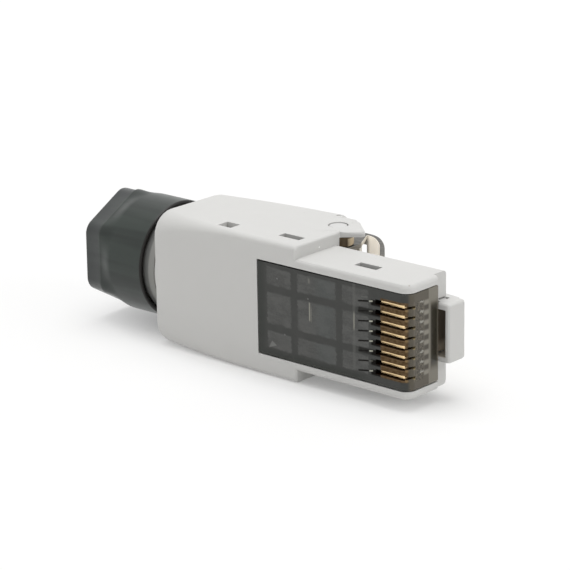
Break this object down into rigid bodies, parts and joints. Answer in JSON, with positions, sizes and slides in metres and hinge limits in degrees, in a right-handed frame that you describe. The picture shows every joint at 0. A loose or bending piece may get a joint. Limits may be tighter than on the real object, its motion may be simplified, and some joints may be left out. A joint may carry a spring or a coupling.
{
  "type": "modular network plug",
  "caption": "Modular network plug for fitting to a cable on site: latch with sheet-metal release lever, smoky contact carrier, rear cover, and a gland nut over a cable clamp.",
  "frame": {"origin": "middle of the mating face, on the contact carrier's front", "axes": "+X is the mating direction, -Y the contact side, +Y the latch side, +Z across the plug's width"},
  "size_m": [0.0466, 0.0136, 0.0142],
  "materials": {
    "housing_plastic": "fine satin moulding",
    "smoky_plastic": "smoky, clear moulding",
    "gold_plate": "gold plated, bright",
    "comb_plastic": "plain moulding",
    "tinned_sheet": "tinned sheet",
    "pin_steel": "drawn",
    "bush_brass": "plain turned",
    "seal_rubber": "plain moulding",
    "dark_plastic": "satin moulding"
  },
  "bodies": {
    "housing": {"housing": "housing_plastic", "rear_cover": "housing_plastic", "contact_carrier": "smoky_plastic", "contact_1": "gold_plate", "contact_2": "gold_plate", "contact_3": "gold_plate", "contact_4": "gold_plate", "contact_5": "gold_plate", "contact_6": "gold_plate", "contact_7": "gold_plate", "contact_8": "gold_plate", "wire_manager": "comb_plastic", "lever_pin": "pin_steel", "lever_bush_1": "bush_brass", "lever_bush_2": "bush_brass", "neck_ring": "seal_rubber"},
    "latch": {"latch": "housing_plastic"},
    "lever": {"release_lever": "tinned_sheet"},
    "clamp": {"cable_clamp": "dark_plastic"},
    "nut": {"gland_nut": "dark_plastic"}
  },
  "joints": [
    {"name": "lever_press", "type": "hinge", "parent": "housing", "child": "lever", "pos_m": [-0.01595, 0.0053, 0], "axis": [0, 0, -1], "range_deg": [0, 9.5], "stiffness_Nm_per_rad": 0.0005},
    {"name": "latch_flex", "type": "hinge", "parent": "housing", "child": "latch", "pos_m": [-0.0005, 0.0023, 0], "axis": [0, 0, 1], "range_deg": [0, 4.3]},
    {"name": "clamp_slide", "type": "slide", "parent": "housing", "child": "clamp", "axis": [1, 0, 0], "range_m": [-0.0015, 0.0015]},
    {"name": "nut_turn", "type": "hinge", "parent": "clamp", "child": "nut", "pos_m": [-0.0454, 0.0038, 0], "axis": [1, 0, 0], "range_deg": [-361, 361]}
  ],
  "couplings": [
    {"joint": "latch_flex", "follows": "lever_press", "ratio": 0.445},
    {"joint": "nut_turn", "follows": "clamp_slide", "rad_per_m": 4188.8}
  ]
}
